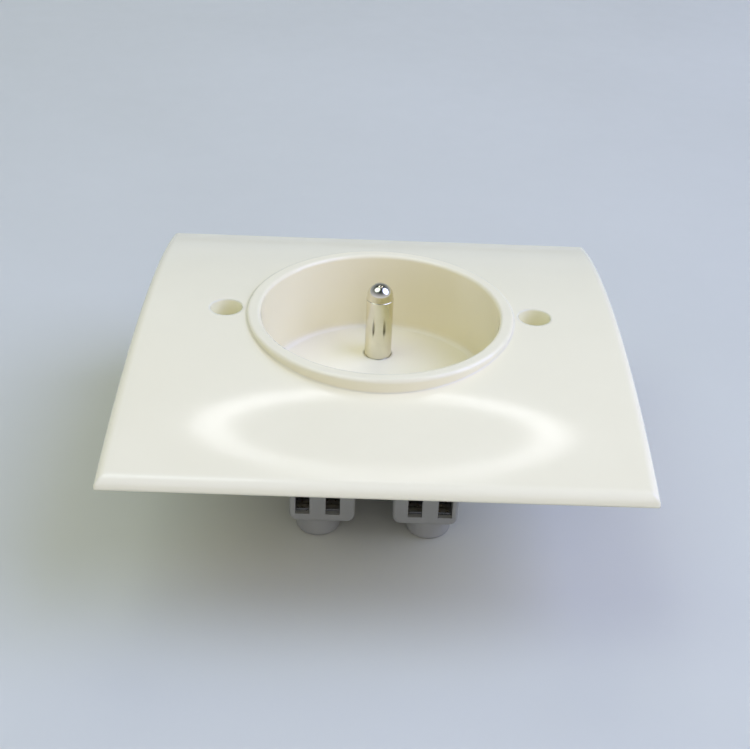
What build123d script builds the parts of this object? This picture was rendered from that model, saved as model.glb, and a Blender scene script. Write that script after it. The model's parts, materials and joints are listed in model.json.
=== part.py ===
from build123d import *
import math
import os

# Flush wall socket with a round recess and a standing earth pin.
# Millimetres. Z = 0 is the wall, +Z points into the room and +Y is up on the wall.
# The origin is the plate's centre.

# Front plate: a square shell, arched from its lower to its upper edge, with walls that lean inward
plate_width = 82.0
plate_height = 82.0
crown_height = 8.0
edge_height = 1.7
plate_draft = 6.0
plate_wall = 2.0
skirt_wall = 1.8
corner_radius = 0.6
edge_rounding = 1.6

# Round recess that takes the plug, with a rim that stands a little above the plate
recess_radius = 20.1
recess_depth = 14.4
recess_draft = 1.8
recess_wall = 2.35
rim_above_crown = 0.45
rim_rounding = 0.5
recess_floor = 2.0
floor_rounding = 0.8

# Screw wells left and right of the recess
fixing_spacing = 51.8
fixing_head_radius = 2.75
fixing_hole_radius = 1.7
fixing_seat = 2.0
pillar_wall = 1.5

# The plug that the socket takes
plug_pin_radius = 2.4
plug_pin_spacing = 19.0
plug_pin_length = 19.0
plug_hole_clearance = 0.35
plug_hole_chamfer = 0.4
pin_end_clearance = 1.0

# Earth pin
earth_pin_radius = 2.4
earth_pin_height = 14.0
earth_pin_offset = 10.0
earth_dome_step = 0.06
earth_neck_height = 0.5
earth_neck_taper = 0.05
earth_seat_flare = 0.25
earth_collar_radius = 3.6
earth_collar_height = 1.5
rivet_radius = 1.6
rivet_head_radius = 2.1
rivet_head_height = 0.7

# Brass strip of the contacts and the earth strap
strip = 0.8
strip_bend = 0.8
contact_grip = 0.15
contact_bow = 0.5
contact_wing = 2.4
contact_top_gap = 1.6
contact_height = 9.6
contact_lead_in = 0.3
strap_foot = 3.1

# Terminals: a screw from behind draws a clamp plate against the strip
terminal_reach = 12.9
terminal_depth = 10.0
wire_space = 2.8
clamp_length = 6.4
clamp_thickness = 1.0
clamp_teeth = 2
clamp_tooth_depth = 0.3
screw_radius = 1.5
screw_head_radius = 2.6
screw_head_height = 2.0
screw_slot_width = 0.8
screw_slot_depth = 1.0
screw_spare = 2.5
screw_tip = 0.4

# Base moulding
flange = 2.0
block_gap = 6.4
block_wall = 1.0
block_floor = 0.9
block_rounding = 1.5
block_edge = 0.6
housing_floor = 1.2
tower_wall = 1.1
tower_rounding = 0.9
window_post = 2.7
window_height = 4.5
shelf_wall = 1.2

# Screws from behind that hold the base to the cover
base_screw_count = 2
base_screw_angle = 33.4
base_screw_radius = 1.3
base_screw_length = 9.0
base_screw_point = 1.5
base_head_radius = 2.6
base_head_height = 1.8
base_head_rounding = 0.8
base_cross_width = 0.8
base_cross_length = 3.2
base_cross_depth = 1.0
boss_wall = 1.9
boss_sink = 1.4
pilot_spare = 1.0
ear_margin = 0.8

# Clearances
slip = 0.05
play = 0.1
room = 0.3
over = 1.0

# Levels and radii that follow from the sizes above
rim_top = crown_height + rim_above_crown
floor_top = rim_top - recess_depth
base_top = floor_top - recess_floor
base_bottom = floor_top - plug_pin_length - pin_end_clearance - housing_floor
flange_bottom = base_top - flange
taper = math.tan(math.radians(recess_draft))
recess_floor_radius = recess_radius - recess_depth * taper
recess_outer_radius = recess_radius + recess_wall
recess_foot_radius = recess_outer_radius - (rim_top - base_top) * taper

contact_x = plug_pin_spacing / 2
grip_radius = plug_pin_radius - contact_grip
wing_middle = grip_radius + strip / 2
wing_end = wing_middle + contact_bow
contact_width = 2 * wing_end + strip
contact_top = base_top - contact_top_gap
bridge_middle = contact_wing + strip_bend + strip

tab_top = base_top - terminal_depth
tab_bottom = tab_top - strip
clamp_top = tab_bottom - wire_space
clamp_bottom = clamp_top - clamp_thickness
window_sill = clamp_top - clamp_tooth_depth
block_bottom = clamp_bottom - block_floor
chamber_width = contact_width + 2 * (room - play)
clamp_width = chamber_width - 2 * play
chamber_length = clamp_length + 2 * play
tower_bore = screw_head_radius + room / 2
tower_radius = tower_bore + tower_wall
block_side = contact_x + chamber_width / 2 + block_wall
block_face = terminal_reach + chamber_length / 2 + block_wall

collar_bottom = base_top - earth_collar_height
strap_bottom = collar_bottom - strip
strap_bend_start = earth_pin_offset + rivet_head_radius + play
strap_leg = strap_bend_start + strip_bend + strip / 2
earth_terminal_reach = strap_leg + strap_foot
earth_face = earth_terminal_reach + chamber_length / 2 + block_wall

pin_apex = floor_top + earth_pin_height
neck_radius = earth_pin_radius - earth_dome_step
dome_radius = neck_radius - earth_neck_taper
dome_foot = pin_apex - dome_radius
neck_foot = dome_foot - earth_neck_height
seat_top_radius = earth_pin_radius + slip
seat_radius = seat_top_radius + earth_seat_flare

boss_radius = base_screw_radius + boss_wall
base_screw_reach = recess_outer_radius + boss_radius - boss_sink
base_screw_places = list(PolarLocations(base_screw_reach, base_screw_count, base_screw_angle))
fixing_places = [Pos(side * fixing_spacing / 2, 0) for side in (1, -1)]
terminal_places = {
    "live": Pos(contact_x, -terminal_reach),
    "neutral": Pos(-contact_x, -terminal_reach),
    "earth": Pos(0, earth_terminal_reach) * Rot(0, 0, 180),
}

arch_sag = crown_height - edge_height
arch_radius = ((plate_height / 2) ** 2 + arch_sag ** 2) / (2 * arch_sag)
arch_centre = crown_height - arch_radius
plate_lean = math.tan(math.radians(plate_draft))


def upright(radius, low, high):
    """Cylinder about Z between two levels."""
    return Pos(0, 0, low) * Cylinder(radius, high - low, align=(Align.CENTER, Align.CENTER, Align.MIN))


def block(x_low, x_high, y_low, y_high, z_low, z_high):
    """Box between two corners."""
    corner = Pos(x_low, y_low, z_low)
    return corner * Box(x_high - x_low, y_high - y_low, z_high - z_low, align=(Align.MIN,) * 3)


def side_profile(points, x_low, x_high):
    """Solid with a straight-sided outline in Y and Z, drawn out along X."""
    outline = Plane.YZ * make_face(Polyline(*points, close=True))
    return Pos(x_low, 0, 0) * extrude(outline, x_high - x_low, dir=(1, 0, 0))


def arched_block(width, half_height, drop, low):
    """Block whose top is the plate's arch, lowered squarely by drop."""
    radius = arch_radius - drop
    shoulder = arch_centre + math.sqrt(radius ** 2 - half_height ** 2)
    arch = ThreePointArc((-half_height, shoulder), (0, arch_centre + radius), (half_height, shoulder))
    sides = Polyline((half_height, shoulder), (half_height, low),
                     (-half_height, low), (-half_height, shoulder))
    outline = Plane.YZ * make_face([arch, *sides.edges()])
    return extrude(outline, width / 2, both=True)


def leaning_block(inset, outline=Rectangle):
    """Block that stands as far inside the plate's outline at the wall as stated and narrows with height."""
    wider = 2 * (over * plate_lean - inset)
    foot = outline(plate_width + wider, plate_height + wider)
    return Pos(0, 0, -over) * extrude(foot, crown_height + 2 * over, taper=plate_draft)


def soft_cornered(width, height):
    return RectangleRounded(width, height, corner_radius)


def plate_shell():
    arch_width = plate_width + 2 * over
    arch_half_height = plate_height / 2 + over
    outer = leaning_block(0) & arched_block(arch_width, arch_half_height, 0, 0)
    arch_face = outer.faces().sort_by(Axis.Z)[-1]
    outer = fillet(arch_face.edges(), edge_rounding)
    outer &= leaning_block(0, soft_cornered)
    hollow = leaning_block(skirt_wall) & arched_block(arch_width, arch_half_height, plate_wall, -2 * over)
    return outer - hollow


def recess_cup():
    """Tapered cup from its rim to the underside of its floor, rounded at the rim and round the floor."""
    section = make_face(Polyline((0, base_top), (recess_foot_radius, base_top),
                                 (recess_outer_radius, rim_top), (recess_radius, rim_top),
                                 (recess_floor_radius, floor_top), (0, floor_top), close=True))
    section = fillet(section.vertices().group_by(Axis.Y)[-1], rim_rounding)
    floor_corner = section.vertices().filter_by_position(Axis.Y, floor_top - slip, floor_top + slip)
    section = fillet(floor_corner.sort_by(Axis.X)[-1], floor_rounding)
    return revolve(Plane.XZ * section, Axis.Z)


def plug_hole():
    """Hole for one plug pin, widened at the recess floor."""
    radius = plug_pin_radius + plug_hole_clearance
    hole = upright(radius, base_top - over, floor_top + over)
    lead_in = Pos(0, 0, floor_top - plug_hole_chamfer) * Cone(
        radius, radius + plug_hole_chamfer + over, plug_hole_chamfer + over,
        align=(Align.CENTER, Align.CENTER, Align.MIN))
    return hole + lead_in


def earth_pin_seat():
    """Tapered hole in the recess floor, which the flared foot of the earth pin is drawn into from below."""
    flare_over = earth_seat_flare * over / recess_floor
    return Pos(0, 0, base_top - over) * Cone(
        seat_radius + slip + flare_over, seat_top_radius + slip - flare_over, recess_floor + 2 * over,
        align=(Align.CENTER, Align.CENTER, Align.MIN))


def cover():
    inside_plate = arched_block(plate_width, plate_height / 2, plate_wall / 2, base_top - over)
    pillar_radius = fixing_head_radius + pillar_wall
    posts = [place * upright(pillar_radius, 0, crown_height) for place in fixing_places]
    posts += [place * upright(boss_radius, base_top, crown_height) for place in base_screw_places]
    body = plate_shell() + [post & inside_plate for post in posts]
    body -= upright(recess_radius + recess_wall / 2, base_top - over, rim_top + over)
    body += recess_cup()
    for place in fixing_places:
        body -= place * upright(fixing_head_radius, fixing_seat, rim_top + over)
        body -= place * upright(fixing_hole_radius, -over, fixing_seat + over)
    for place in base_screw_places:
        pilot_end = flange_bottom + base_screw_length + pilot_spare
        body -= place * upright(base_screw_radius + slip, base_top - over, pilot_end)
    for side in (1, -1):
        body -= Pos(side * contact_x, 0) * plug_hole()
    return body - Pos(0, earth_pin_offset) * earth_pin_seat()


def terminal_block():
    """Right-hand block of the base: terminal at the lower end, contact housing behind the plug pin."""
    housing_near = bridge_middle + strip / 2 + room + block_wall
    housing_far = contact_wing + strip + room + block_wall
    outline = [(-block_face, base_top), (housing_far, base_top), (housing_far, base_bottom),
               (-housing_near, base_bottom), (-housing_near, block_bottom), (-block_face, block_bottom)]
    body = side_profile(outline, block_gap / 2, block_side)
    long_edges = body.edges().filter_by(Axis.Y)
    low_edges = long_edges.filter_by_position(Axis.Z, base_bottom - over, block_bottom + slip)
    body = fillet(low_edges, block_rounding)
    face_edges = body.edges().filter_by_position(Axis.Y, -block_face - slip, -block_face + slip)
    body = fillet(face_edges.filter_by(lambda e: e.bounding_box().min.Z < base_top - slip), block_edge)
    return body


def terminal_space():
    """Right-hand chamber: clamp at the lower end, the tab's seat, then a deep contact pocket at the pin."""
    pocket_near = bridge_middle + strip / 2 + room
    pocket_far = contact_wing + strip + room
    near = terminal_reach + chamber_length / 2
    seat = terminal_reach - chamber_length / 2
    pocket_bottom = base_bottom + housing_floor
    outline = [(-near, base_top + over), (pocket_far, base_top + over), (pocket_far, pocket_bottom),
               (-pocket_near, pocket_bottom), (-pocket_near, tab_bottom), (-seat, tab_bottom),
               (-seat, clamp_bottom), (-near, clamp_bottom)]
    return side_profile(outline, contact_x - chamber_width / 2, contact_x + chamber_width / 2)


def windows():
    """Two wire windows above the clamp, in the wall that faces -Y from a screw at the origin."""
    wall = chamber_length / 2
    cuts = []
    for side in (1, -1):
        near_post = side * window_post / 2
        far_side = side * chamber_width / 2
        cuts.append(block(min(near_post, far_side), max(near_post, far_side),
                          -wall - block_wall - over, -wall + play,
                          window_sill, window_sill + window_height))
    return cuts


def earth_block():
    half = chamber_width / 2 + block_wall
    near = earth_pin_offset - earth_collar_radius - room - block_wall
    drop = strap_bend_start - block_wall
    shelf_bottom = strap_bottom - rivet_head_height - room - shelf_wall
    outline = [(near, base_top), (earth_face, base_top), (earth_face, block_bottom),
               (drop, block_bottom), (drop, shelf_bottom), (near, shelf_bottom)]
    body = side_profile(outline, -half, half)
    long_edges = body.edges().filter_by(Axis.Y)
    low_edges = long_edges.filter_by_position(Axis.Z, block_bottom - slip, block_bottom + slip)
    body = fillet(low_edges, block_rounding)
    face_edges = body.edges().filter_by_position(Axis.Y, earth_face - slip, earth_face + slip)
    return fillet(face_edges.filter_by(lambda e: e.bounding_box().min.Z < base_top - slip), block_edge)


def earth_space():
    """Shelf under the earth pin's collar and strap, and the terminal chamber beyond it."""
    near = earth_pin_offset - earth_collar_radius - room
    far = earth_terminal_reach + chamber_length / 2
    outline = [(near, base_top + over), (far, base_top + over), (far, clamp_bottom),
               (strap_bend_start, clamp_bottom), (strap_bend_start, strap_bottom), (near, strap_bottom)]
    space = side_profile(outline, -chamber_width / 2, chamber_width / 2)
    rivet_room = upright(rivet_head_radius + room, strap_bottom - rivet_head_height - room, base_top)
    collar_room = upright(earth_collar_radius + play, strap_bottom, base_top + over)
    return space + Pos(0, earth_pin_offset) * rivet_room + Pos(0, earth_pin_offset) * collar_room


def tower():
    """Post under a terminal, rounded at the foot, which guides the screwdriver."""
    post = upright(tower_radius, base_bottom, block_bottom + block_floor / 2)
    return fillet(post.edges().group_by(Axis.Z)[0], tower_rounding)


def base():
    ear_radius = base_head_radius + ear_margin
    body = upright(recess_foot_radius, flange_bottom, base_top)
    body += [place * upright(ear_radius, flange_bottom, base_top) for place in base_screw_places]
    body += [terminal_block(), mirror(terminal_block(), Plane.YZ), earth_block()]
    body += [place * tower() for place in terminal_places.values()]
    body -= [terminal_space(), mirror(terminal_space(), Plane.YZ), earth_space()]
    for place in terminal_places.values():
        body -= [place * cut for cut in windows()]
        body -= place * upright(tower_bore, base_bottom - over, clamp_bottom + over)
    for place in base_screw_places:
        body -= place * upright(base_screw_radius + room, flange_bottom - over, base_top + over)
    return body


def bent_strip(points, width):
    """Strip of constant thickness, bent along a route in Y and Z and as wide as stated along X."""
    route = FilletPolyline(*points, radius=strip_bend + strip / 2)
    return extrude(Plane.YZ * trace(route, strip), width / 2, both=True)


def plug_contact():
    """Brass fork round a plug pin at the origin, with the terminal tab that its bridge bends into."""
    wing_foot = (wing_end, -contact_wing)
    wing = ThreePointArc((wing_end, contact_wing), (wing_middle, 0), wing_foot)
    corner = FilletPolyline(wing_foot, (wing_end, -bridge_middle), (-wing_end, -bridge_middle),
                            (-wing_end, -contact_wing), radius=strip_bend + strip / 2)
    other_wing = ThreePointArc((-wing_end, -contact_wing), (-wing_middle, 0), (-wing_end, contact_wing))
    route = Wire([wing, *corner.edges(), other_wing])
    fork = extrude(trace(route, strip), contact_height)
    fork = Pos(0, 0, contact_top - contact_height) * fork
    fork -= Pos(0, 0, contact_top - contact_lead_in) * Cone(
        grip_radius, grip_radius + contact_lead_in, contact_lead_in,
        align=(Align.CENTER, Align.CENTER, Align.MIN))
    tab = bent_strip([(-bridge_middle, contact_top), (-bridge_middle, tab_top - strip / 2),
                      (-terminal_reach - clamp_length / 2, tab_top - strip / 2)], contact_width)
    screw_hole = Pos(0, -terminal_reach) * upright(screw_radius + slip, tab_bottom - over, tab_top + over)
    return fork + tab - screw_hole


def earth_strap():
    near = earth_pin_offset - earth_collar_radius
    middle = strap_bottom + strip / 2
    body = bent_strip([(near, middle), (strap_leg, middle), (strap_leg, tab_top - strip / 2),
                       (earth_terminal_reach + clamp_length / 2, tab_top - strip / 2)], contact_width)
    rivet_hole = upright(rivet_radius + slip, strap_bottom - over, collar_bottom + over)
    body -= Pos(0, earth_pin_offset) * rivet_hole
    screw_hole = upright(screw_radius + slip, tab_bottom - over, tab_top + over)
    return body - Pos(0, earth_terminal_reach) * screw_hole


def earth_pin():
    """Turned pin: rivet head, spigot, collar under the recess floor, tapered seat in it, pin and dome."""
    dome = CenterArc((0, dome_foot), dome_radius, 0, 90)
    rivet_bottom = strap_bottom - rivet_head_height
    side = Polyline((0, pin_apex), (0, rivet_bottom), (rivet_head_radius, rivet_bottom),
                    (rivet_head_radius, strap_bottom), (rivet_radius, strap_bottom),
                    (rivet_radius, collar_bottom), (earth_collar_radius, collar_bottom),
                    (earth_collar_radius, base_top), (seat_radius, base_top),
                    (seat_top_radius, floor_top), (earth_pin_radius, floor_top),
                    (earth_pin_radius, neck_foot - earth_dome_step), (neck_radius, neck_foot),
                    (dome_radius, dome_foot))
    turned = revolve(Plane.XZ * make_face([*side.edges(), dome]), Axis.Z)
    return Pos(0, earth_pin_offset) * turned


def clamp():
    """Clamp plate round a screw at the origin, toothed across the wires."""
    body = block(-clamp_width / 2, clamp_width / 2, -clamp_length / 2, clamp_length / 2,
                 clamp_bottom, clamp_top)
    body -= upright(screw_radius + 2 * slip, clamp_bottom - over, clamp_top + over)
    pitch = clamp_length / (2 * clamp_teeth + 1)
    groove = make_face(Polyline((-pitch / 2, 0), (0, -clamp_tooth_depth), (pitch / 2, 0), close=True))
    groove = extrude(Plane.YZ * groove, clamp_width / 2 + over, both=True)
    for number in range(-clamp_teeth, clamp_teeth + 1):
        body -= Pos(0, number * pitch, clamp_top) * groove
    return body


def terminal_screw():
    """Slotted screw, its head down in the tower and its end through the tab."""
    head_bottom = clamp_bottom - screw_head_height
    head = upright(screw_head_radius, head_bottom, clamp_bottom)
    slot_half_length = screw_head_radius + over
    head -= block(-slot_half_length, slot_half_length, -screw_slot_width / 2, screw_slot_width / 2,
                  head_bottom - over, head_bottom + screw_slot_depth)
    shank = upright(screw_radius, clamp_bottom - play, tab_top + screw_spare)
    shank = chamfer(shank.edges().group_by(Axis.Z)[-1], screw_tip)
    return head + shank


def base_screw():
    """Self-tapping screw with a rounded, cross-recessed head under the base's ear."""
    head_bottom = flange_bottom - base_head_height
    head = upright(base_head_radius, head_bottom, flange_bottom)
    head = fillet(head.edges().group_by(Axis.Z)[0], base_head_rounding)
    slot = block(-base_cross_length / 2, base_cross_length / 2, -base_cross_width / 2, base_cross_width / 2,
                 head_bottom - over, head_bottom + base_cross_depth)
    head -= [slot, Rot(0, 0, 90) * slot]
    end = flange_bottom + base_screw_length
    shank = upright(base_screw_radius, flange_bottom - play, end - base_screw_point)
    point = Pos(0, 0, end - base_screw_point) * Cone(base_screw_radius, slip, base_screw_point,
                                                     align=(Align.CENTER, Align.CENTER, Align.MIN))
    return head + shank + point


contact = plug_contact()
pieces = {
    "cover": cover(),
    "base": base(),
    "live_contact": Pos(contact_x, 0) * contact,
    "neutral_contact": Pos(-contact_x, 0) * contact,
    "earth_pin": earth_pin(),
    "earth_strap": earth_strap(),
    "terminal_screws": Compound([place * terminal_screw() for place in terminal_places.values()]),
    "base_screws": Compound([place * base_screw() for place in base_screw_places]),
}
for pole, place in terminal_places.items():
    pieces[pole + "_clamp"] = place * clamp()

os.makedirs("parts", exist_ok=True)
for name, piece in pieces.items():
    export_step(piece, f"parts/{name}.step")
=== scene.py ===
import bmesh
import bpy
import json
import math
from mathutils import Matrix, Vector


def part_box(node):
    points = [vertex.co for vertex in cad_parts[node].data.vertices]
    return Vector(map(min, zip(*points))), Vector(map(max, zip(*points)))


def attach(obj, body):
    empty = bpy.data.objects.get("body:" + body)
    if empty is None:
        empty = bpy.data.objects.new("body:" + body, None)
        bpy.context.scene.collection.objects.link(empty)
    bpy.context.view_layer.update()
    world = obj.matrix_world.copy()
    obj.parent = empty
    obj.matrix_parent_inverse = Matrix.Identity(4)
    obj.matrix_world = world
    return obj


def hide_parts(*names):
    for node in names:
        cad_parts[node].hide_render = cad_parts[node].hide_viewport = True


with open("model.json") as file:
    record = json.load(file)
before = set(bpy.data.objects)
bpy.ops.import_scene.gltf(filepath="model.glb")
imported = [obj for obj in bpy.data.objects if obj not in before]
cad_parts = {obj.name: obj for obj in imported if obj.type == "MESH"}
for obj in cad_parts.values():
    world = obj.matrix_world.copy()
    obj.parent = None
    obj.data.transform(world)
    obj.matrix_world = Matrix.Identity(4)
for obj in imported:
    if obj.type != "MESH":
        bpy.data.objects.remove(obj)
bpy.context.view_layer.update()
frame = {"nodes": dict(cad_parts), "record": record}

# Lengths are in metres, in the frame of the socket: the wall at z = 0, +Z out of it, +Y up on it.
MM = 0.001

# Camera, fitted to the photograph of 750 by 749 pixels, with its angles in degrees
image_width = 750
camera_focal_pixels = 1269.0
camera_sensor = 36.0
camera_place = Vector((-3.568, -186.568, 111.781)) * MM
camera_heading = -0.945
camera_elevation = 31.903
camera_roll = 2.42

# Ring lamp above and behind the socket, which shows in the plate's gloss and is dimmer in its near half
ring_light = (1.0, 1.0, 1.05)
ring_place = Vector((10, 202, 400)) * MM
ring_radius = 87 * MM
ring_width = 19 * MM
ring_strength = 5.0
ring_dimmest = 0.45

# Soft round lamps that look at the socket, mirrored in its gloss or not
soft_lamps = {
    "right_lamp": {"place": Vector((760, -110, 800)) * MM, "size": 1050 * MM, "power": 6.35,
                   "light": (1.0, 1.15, 2.15), "mirrored": True},
    "left_lamp": {"place": Vector((-420, -80, 950)) * MM, "size": 800 * MM, "power": 2.85,
                  "light": (1.0, 1.15, 1.18), "mirrored": True},
    "front_lamp": {"place": Vector((90, -640, 600)) * MM, "size": 500 * MM, "power": 1.0,
                   "light": (1.0, 0.93, 1.08), "mirrored": False},
    "back_lamp": {"place": Vector((40, 560, 780)) * MM, "size": 600 * MM, "power": 0.9,
                  "light": (1.0, 1.06, 0.97), "mirrored": False},
}

# Room: the light of its walls in front and behind, and of its ceiling from this sine of the elevation up
room_front = (0.98, 0.99, 1.2)
room_back = (0.5, 0.55, 0.63)
room_above = (0.03, 0.04, 0.045)
room_above_height = 0.8

# Round table that the socket lies on
table_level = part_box("base")[0][2]
table_radius = 1.5
table_dark = (0.615, 0.615, 0.51)
table_light = (0.645, 0.645, 0.54)
table_clouds = {"size": 120 * MM, "detail": 3}
table_rubbing = {"size": 8 * MM, "detail": 4}
table_roughness = (0.5, 0.62)
table_grain = {"size": 0.8 * MM, "detail": 3}
table_grain_depth = 0.01 * MM

# Ivory plastic of the cover
ivory_dark = (0.895, 0.82, 0.545)
ivory_light = (0.91, 0.835, 0.56)
ivory_clouds = {"size": 14 * MM, "detail": 2}
# Paler colour of the rounded edges: partly rubbing, partly a painted highlight on the edges
ivory_rubbed_edge_and_highlight = (0.95, 0.905, 0.69)
ivory_edge_share = 0.6
ivory_edge_radius = 0.6 * MM
ivory_rubbing = {"size": 1.5 * MM, "detail": 6, "roughness": 0.7}
ivory_roughness = (0.08, 0.12)
ivory_waves = {"size": 3.5 * MM, "detail": 2}
ivory_wave_depth = 0.006 * MM
ivory_grain = {"size": 0.5 * MM, "detail": 2}
ivory_grain_depth = 0.0022 * MM
ivory_ior = 1.5

# Painted light: the ivory plastic is painted paler, as if lit more brightly, on the recess floor, on the
# plate's sides and in the screw wells; the recess floor is also matt
recess_floor_thickness = 2 * MM
recess_floor_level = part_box("cover")[0][2] + recess_floor_thickness
recess_floor_fade = 1.6 * MM
# Paler colour of the recess floor: painted light, as if more light fell on the floor
recess_floor_painted_light = (0.92, 0.86, 0.63)
recess_floor_roughness = 0.4
plate_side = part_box("cover")[1][0]
plate_side_fade = 1.8 * MM
# Paler colour of the plate's sides and edge faces: painted light, lighter than their shading gives
plate_side_painted_light = (0.965, 0.9, 0.63)
fixing_holes = next(mount for mount in frame["record"]["mounts"] if mount["name"] == "fixing_holes")
well_offset = fixing_holes["dims"]["spacing_x_mm"] / 2 * MM
well_reach = 2.9 * MM
well_fade = 0.1 * MM
# Paler colour in the screw wells: painted light on their shaded walls
well_painted_light = (0.985, 0.935, 0.64)

# Other finishes: a clouded colour with paler edges, an uneven gloss and a fine relief
plain_finishes = {
    # Matt moulded plastic with the fine grain of an eroded mould
    "grey_plastic": {
        "metallic": 0.0, "dark": (0.29, 0.287, 0.247), "light": (0.33, 0.326, 0.283),
        "clouds": {"size": 9 * MM, "detail": 3},
        "edge": (0.43, 0.425, 0.372), "edge_share": 0.4, "edge_radius": 0.15 * MM,
        "rubbing": {"size": 2 * MM, "detail": 4}, "roughness": (0.45, 0.6),
        "relief": {"size": 0.3 * MM, "detail": 3, "roughness": 0.6}, "relief_depth": 0.008 * MM,
    },
    # Rolled strip, faintly streaked along its length and dulled in patches
    "brass": {
        "metallic": 1.0, "dark": (0.42, 0.34, 0.2), "light": (0.5, 0.42, 0.27),
        "clouds": {"size": 3 * MM, "detail": 4},
        "edge": (0.62, 0.53, 0.36), "edge_share": 0.6, "edge_radius": 0.08 * MM,
        "rubbing": {"size": 1.2 * MM, "detail": 5}, "roughness": (0.2, 0.36),
        "relief": {"size": 0.4 * MM, "detail": 3, "stretch": (6, 0.3, 0.3)}, "relief_depth": 0.003 * MM,
    },
    # Turned and plated: fine rings round the pin, and a trace of rubbing
    "nickel": {
        "metallic": 1.0, "dark": (0.72, 0.68, 0.53), "light": (0.78, 0.74, 0.59),
        "clouds": {"size": 2.5 * MM, "detail": 4},
        "edge": (0.85, 0.81, 0.7), "edge_share": 0.5, "edge_radius": 0.05 * MM,
        "rubbing": {"size": 0.8 * MM, "detail": 5, "stretch": (1, 1, 4)}, "roughness": (0.12, 0.2),
        "relief": {"size": 0.35 * MM, "detail": 3, "stretch": (0.05, 0.05, 4)}, "relief_depth": 0.0012 * MM,
    },
    # Zinc-plated steel: a cloudy bluish sheen with fine pits
    "zinc_steel": {
        "metallic": 1.0, "dark": (0.5, 0.52, 0.54), "light": (0.64, 0.64, 0.62),
        "clouds": {"size": 1.6 * MM, "detail": 4},
        "edge": (0.75, 0.75, 0.74), "edge_share": 0.6, "edge_radius": 0.06 * MM,
        "rubbing": {"size": 0.6 * MM, "detail": 5}, "roughness": (0.24, 0.4),
        "relief": {"size": 0.2 * MM, "detail": 3}, "relief_depth": 0.003 * MM,
    },
}

# Noise lies mostly between these two values
noise_low = 0.3
noise_high = 0.7

# Edges: samples of the rounded normal, and its likeness to the plain one where an edge starts and is in full
edge_samples = 6
edge_starts = 0.98
edge_full = 0.8

# Numbers of the colour sockets of a mix node, which has several sockets of each name
mix_amount = 0
mix_first = 6
mix_second = 7
mix_result = 2

# Screws: the height of their heads, and the threads that are cut into their shanks
screw_sizes = {
    "terminal_screws": {"head_height": 2.0 * MM, "pitch": 0.5 * MM, "depth": 0.28 * MM, "ridge_share": 1.0,
                        "tip_length": 0.4 * MM, "tip_radius": 1.1 * MM},
    "base_screws": {"head_height": 1.8 * MM, "pitch": 1.0 * MM, "depth": 0.36 * MM, "ridge_share": 0.6,
                    "tip_length": 1.5 * MM, "tip_radius": 0.05 * MM},
}
thread_steps = 32
thread_rows = 10
thread_sink = 0.1 * MM

# Steps round a circle, the angle from which an edge is sharp, and the distance below which points are one
round_steps = 96
sharp_angle = math.radians(30)
weld = 0.0001 * MM


class Shader:
    """The nodes of a material or of the world, built up by short calls."""

    def __init__(self, owner, ending):
        self.owner = owner
        owner.use_nodes = True
        self.tree = owner.node_tree
        self.ending = self.tree.nodes[ending]

    def put(self, socket, value):
        """Link a socket to another one, or set its own value."""
        if isinstance(value, bpy.types.NodeSocket):
            self.tree.links.new(value, socket)
        elif socket.type == "RGBA":
            socket.default_value = (*value, 1)
        else:
            socket.default_value = value

    def node(self, kind, inputs=None, **settings):
        """New node with its settings, and with its inputs set or linked."""
        made = self.tree.nodes.new(kind)
        for key, value in settings.items():
            setattr(made, key, value)
        for key, value in (inputs or {}).items():
            self.put(made.inputs[key], value)
        return made

    def position(self):
        """Position on the piece, in metres."""
        return self.node("ShaderNodeTexCoord").outputs["Object"]

    def along(self, axis):
        """Position on the piece along one of its axes."""
        return self.node("ShaderNodeSeparateXYZ", {"Vector": self.position()}).outputs[axis]

    def calculate(self, operation, *values):
        """One sum, product or other operation on numbers."""
        return self.node("ShaderNodeMath", dict(enumerate(values)), operation=operation).outputs[0]

    def noise(self, size, detail, roughness=0.5, stretch=(1, 1, 1)):
        """Soft noise from 0 to 1 with blotches about size wide, finer along an axis with a larger stretch."""
        place = self.node("ShaderNodeMapping", {"Vector": self.position(), "Scale": stretch}).outputs[0]
        made = self.node("ShaderNodeTexNoise", {"Vector": place, "Scale": 1 / size, "Detail": detail,
                                                "Roughness": roughness})
        return made.outputs["Fac"]

    def spread(self, value, low, high, start=noise_low, end=noise_high):
        """Value from start to end turned into a number from low to high."""
        made = self.node("ShaderNodeMapRange", {"Value": value, "From Min": start, "From Max": end,
                                                "To Min": low, "To Max": high})
        return made.outputs["Result"]

    def blend(self, amount, first, second):
        """Colour between two colours."""
        made = self.node("ShaderNodeMix", {mix_amount: amount, mix_first: first, mix_second: second},
                         data_type="RGBA")
        return made.outputs[mix_result]

    def clouded(self, clouds, dark, light):
        """Colour that wanders between a darker and a lighter one."""
        return self.blend(self.spread(self.noise(**clouds), 0.0, 1.0), dark, light)

    def edges(self, radius):
        """Normal that is rounded at the edges, and a mask that is 1 on them and 0 on open faces."""
        rounded = self.node("ShaderNodeBevel", {"Radius": radius}, samples=edge_samples).outputs[0]
        plain = self.node("ShaderNodeNewGeometry").outputs["Normal"]
        compare = self.node("ShaderNodeVectorMath", {0: rounded, 1: plain}, operation="DOT_PRODUCT")
        return rounded, self.spread(compare.outputs["Value"], 1.0, 0.0, edge_full, edge_starts)

    def on_edges(self, edge, share, colour, edge_colour):
        """Colour that is blended by a share with another one on the edges."""
        return self.blend(self.spread(edge, 0.0, share, 0.0, 1.0), colour, edge_colour)

    def bump(self, height, distance, normal=None):
        """Normal of a surface with a fine relief, on top of another normal if one is given."""
        made = self.node("ShaderNodeBump", {"Height": height, "Distance": distance})
        if normal:
            self.put(made.inputs["Normal"], normal)
        return made.outputs[0]

    def surface(self, **inputs):
        """Set or link the inputs of the last node by their names, with _ for a space."""
        for key, value in inputs.items():
            self.put(self.ending.inputs[key.replace("_", " ")], value)
        return self.owner


def new_material(name):
    return Shader(bpy.data.materials.new(name), "Principled BSDF")


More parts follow.
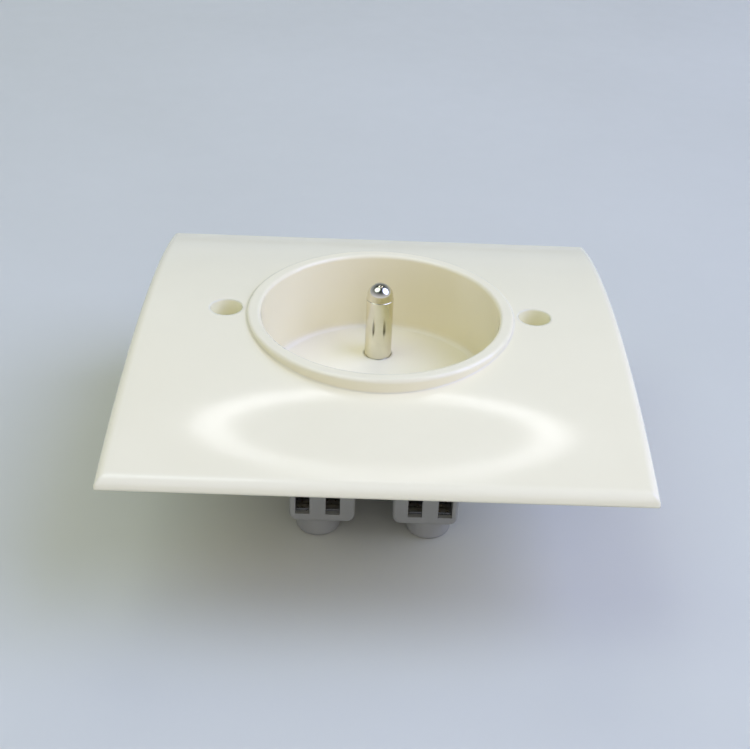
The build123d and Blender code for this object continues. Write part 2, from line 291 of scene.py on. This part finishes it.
def ivory_plastic():
    """Glossy moulded plastic: faint waviness from the mould, slight cloudiness, and finely rubbed edges that
    are painted paler also as a highlight; painted light makes the recess floor, the plate's sides and the
    screw wells paler.
    """
    look = new_material("ivory_plastic")
    rounded, edge = look.edges(ivory_edge_radius)
    colour = look.clouded(ivory_clouds, ivory_dark, ivory_light)
    floor_end = recess_floor_level + recess_floor_fade
    on_floor = look.spread(look.along("Z"), 1.0, 0.0, recess_floor_level, floor_end)
    # Painted light: the recess floor is painted paler, as if more light fell on it
    colour = look.blend(on_floor, colour, recess_floor_painted_light)

    sideways = look.calculate("ABSOLUTE", look.along("X"))
    upward = look.calculate("ABSOLUTE", look.along("Y"))
    outward = look.calculate("MAXIMUM", sideways, upward)
    # Painted light: the plate's outer sides are painted paler, so that they look lit
    painted_side_light = look.spread(outward, 0.0, 1.0, plate_side - plate_side_fade, plate_side)
    colour = look.blend(painted_side_light, colour, plate_side_painted_light)

    # Painted light: the walls of the screw wells are painted paler, so that their shade looks lighter
    from_well = look.calculate("SUBTRACT", sideways, well_offset)
    squares = [look.calculate("MULTIPLY", length, length) for length in (from_well, upward)]
    well_distance = look.calculate("SQRT", look.calculate("ADD", *squares))
    painted_well_light = look.spread(well_distance, 1.0, 0.0, well_reach - well_fade, well_reach)
    colour = look.blend(painted_well_light, colour, well_painted_light)
    # Rubbed edges painted paler, partly as a painted highlight on their rounding
    colour = look.on_edges(edge, ivory_edge_share, colour, ivory_rubbed_edge_and_highlight)

    gloss = look.spread(look.noise(**ivory_rubbing), *ivory_roughness)
    roughness = look.spread(on_floor, gloss, recess_floor_roughness, 0.0, 1.0)
    waves = look.bump(look.noise(**ivory_waves), ivory_wave_depth, rounded)
    grain = look.bump(look.noise(**ivory_grain), ivory_grain_depth, waves)
    return look.surface(Base_Color=colour, Roughness=roughness, Normal=grain, IOR=ivory_ior)


def plain_finish(name, metallic, dark, light, clouds, edge, edge_share, edge_radius,
                 rubbing, roughness, relief, relief_depth):
    """Clouded colour with paler edges, an uneven gloss and a fine relief."""
    look = new_material(name)
    rounded, edge_mask = look.edges(edge_radius)
    colour = look.on_edges(edge_mask, edge_share, look.clouded(clouds, dark, light), edge)
    gloss = look.spread(look.noise(**rubbing), *roughness)
    fine = look.bump(look.noise(**relief), relief_depth, rounded)
    return look.surface(Base_Color=colour, Metallic=metallic, Roughness=gloss, Normal=fine)


def table_top():
    """Pale smooth board with faint clouding."""
    look = new_material("table_top")
    colour = look.clouded(table_clouds, table_dark, table_light)
    gloss = look.spread(look.noise(**table_rubbing), *table_roughness)
    grain = look.bump(look.noise(**table_grain), table_grain_depth)
    return look.surface(Base_Color=colour, Roughness=gloss, Normal=grain)


def lamp_glow():
    """Glow of the ring lamp, dimmer in its near half."""
    look = new_material("lamp_glow")
    dimmest = ring_dimmest * ring_strength
    strength = look.spread(look.along("Y"), dimmest, ring_strength, -ring_radius, 0.0)
    return look.surface(Base_Color=(0, 0, 0), Emission_Color=ring_light, Emission_Strength=strength)


def dress(node, material):
    """Give a solid its finish."""
    solid = frame["nodes"][node]
    solid.data.materials.clear()
    solid.data.materials.append(material)


def add_to_scene(name, data):
    made = bpy.data.objects.new(name, data)
    bpy.context.scene.collection.objects.link(made)
    return made


def circle_points(radius, level):
    angles = [2 * math.pi * step / round_steps for step in range(round_steps)]
    return [(radius * math.cos(angle), radius * math.sin(angle), level) for angle in angles]


def thread_rod(work, axis, radius, bottom, top, pitch, depth, ridge_share, tip_length, tip_radius):
    """Rod along Z with a right-hand thread cut into it, narrower towards its tip.

    Its rows of points climb with the thread, from a turn below the rod to above it, and the points past its
    ends all lie on the ends.
    """
    turns = (top - bottom) / pitch + 2
    columns = []
    for step in range(thread_steps):
        turn = step / thread_steps
        angle = 2 * math.pi * turn
        column = []
        for row in range(math.ceil(turns * thread_rows) + 1):
            climb = bottom + pitch * (row / thread_rows + turn - 1)
            height = min(max(climb, bottom), top)
            from_ridge = abs(2 * (((height - bottom) / pitch - turn) % 1) - 1)
            groove = depth / radius * min(1.0, from_ridge / ridge_share)
            tip_share = min(1.0, (top - height) / tip_length)
            reach = (tip_radius + (radius - tip_radius) * tip_share) * (1 - groove)
            x = axis.x + reach * math.cos(angle)
            y = axis.y + reach * math.sin(angle)
            column.append(work.verts.new((x, y, height)))
        columns.append(column)
    for step in range(thread_steps):
        here = columns[step]
        after = columns[step + 1] if step + 1 < thread_steps else columns[0][thread_rows:]
        for row in range(len(after) - 1):
            work.faces.new((here[row], after[row], after[row + 1], here[row + 1]))


def close_ends(work):
    """Fill the open ends of a mesh, and give back the new faces."""
    rims = [edge for edge in work.edges if edge.is_boundary]
    return bmesh.ops.holes_fill(work, edges=rims)["faces"]


def threaded_screws(node, slot, head_height, **thread):
    """Screws with real threads and the heads of the solids, which they stand for."""
    lowest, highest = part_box(node)
    head_top = lowest[2] + head_height
    work = bmesh.new()
    work.from_mesh(frame["nodes"][node].data)
    bmesh.ops.remove_doubles(work, verts=work.verts, dist=weld)
    shanks = [face for face in work.faces if max(vert.co.z for vert in face.verts) > head_top + weld]
    bmesh.ops.delete(work, geom=shanks, context="FACES")
    for seat in close_ends(work):
        axis = seat.calc_center_median()
        radius = (seat.verts[0].co - axis).length
        thread_rod(work, axis, radius, head_top - thread_sink, highest[2], **thread)
    bmesh.ops.remove_doubles(work, verts=work.verts, dist=weld)
    close_ends(work)
    bmesh.ops.recalc_face_normals(work, faces=work.faces)
    for face in work.faces:
        face.smooth = True
    mesh = bpy.data.meshes.new(node + "_threaded")
    work.to_mesh(mesh)
    work.free()
    # The solid's stored normals don't fit the new faces
    mesh.attributes.remove(mesh.attributes["custom_normal"])
    mesh.set_sharp_from_angle(angle=sharp_angle)
    mesh.materials.append(finishes[slot])
    screws = add_to_scene(node + "_threaded", mesh)
    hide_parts(node)
    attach(screws, "root")


def table():
    mesh = bpy.data.meshes.new("table")
    mesh.from_pydata(circle_points(table_radius, table_level), [], [range(round_steps)])
    mesh.materials.append(table_top())
    add_to_scene("table", mesh)


def ring_lamp():
    """Flat glowing ring that the camera sees only in what mirrors it."""
    mesh = bpy.data.meshes.new("ring_lamp")
    points = circle_points(ring_radius - ring_width / 2, 0) + circle_points(ring_radius + ring_width / 2, 0)
    faces = []
    for step in range(round_steps):
        after = (step + 1) % round_steps
        faces.append((step, step + round_steps, after + round_steps, after))
    mesh.from_pydata(points, [], faces)
    mesh.materials.append(lamp_glow())
    lamp = add_to_scene("ring_lamp", mesh)
    lamp.location = ring_place
    lamp.visible_camera = False


def soft_lamp(name, place, size, power, light, mirrored):
    """Round soft lamp that looks at the middle of the socket, mirrored in its gloss or not."""
    data = bpy.data.lights.new(name, "AREA")
    data.shape = "DISK"
    data.size = size
    data.energy = power
    data.color = light
    lamp = add_to_scene(name, data)
    lamp.location = place
    lamp.rotation_euler = (-place).to_track_quat("-Z", "Y").to_euler()
    lamp.visible_glossy = mirrored


def room():
    """Bright room: pale walls, brightest in front of the socket, and a dark, bluish ceiling."""
    look = Shader(bpy.data.worlds.new("room"), "Background")
    direction = look.node("ShaderNodeTexCoord").outputs["Generated"]
    split = look.node("ShaderNodeSeparateXYZ", {"Vector": direction})
    behind = look.spread(split.outputs["Y"], 0.0, 1.0, -1.0, 1.0)
    walls = look.blend(behind, room_front, room_back)
    above = look.spread(split.outputs["Z"], 0.0, 1.0, 0.0, room_above_height)
    bpy.context.scene.world = look.surface(Color=look.blend(above, walls, room_above))


def camera():
    data = bpy.data.cameras.new("camera")
    data.sensor_fit = "HORIZONTAL"
    data.sensor_width = camera_sensor
    data.lens = camera_focal_pixels / image_width * camera_sensor
    data.clip_start = MM
    made = add_to_scene("camera", data)
    matrix = Matrix.Translation(camera_place)
    for degrees, axis in ((camera_heading, "Z"), (90 - camera_elevation, "X"), (camera_roll, "Z")):
        matrix = matrix @ Matrix.Rotation(math.radians(degrees), 4, axis)
    made.matrix_world = matrix
    bpy.context.scene.camera = made


finishes = {"ivory_plastic": ivory_plastic()}
for name, values in plain_finishes.items():
    finishes[name] = plain_finish(name, **values)
slots = {subpart["node"]: subpart["material_slot"] for subpart in frame["record"]["subparts"]}
for node, slot in slots.items():
    dress(node, finishes[slot])
for node, sizes in screw_sizes.items():
    threaded_screws(node, slots[node], **sizes)

table()
ring_lamp()
for name, values in soft_lamps.items():
    soft_lamp(name, **values)
room()
camera()
bpy.context.scene.view_settings.view_transform = "Standard"
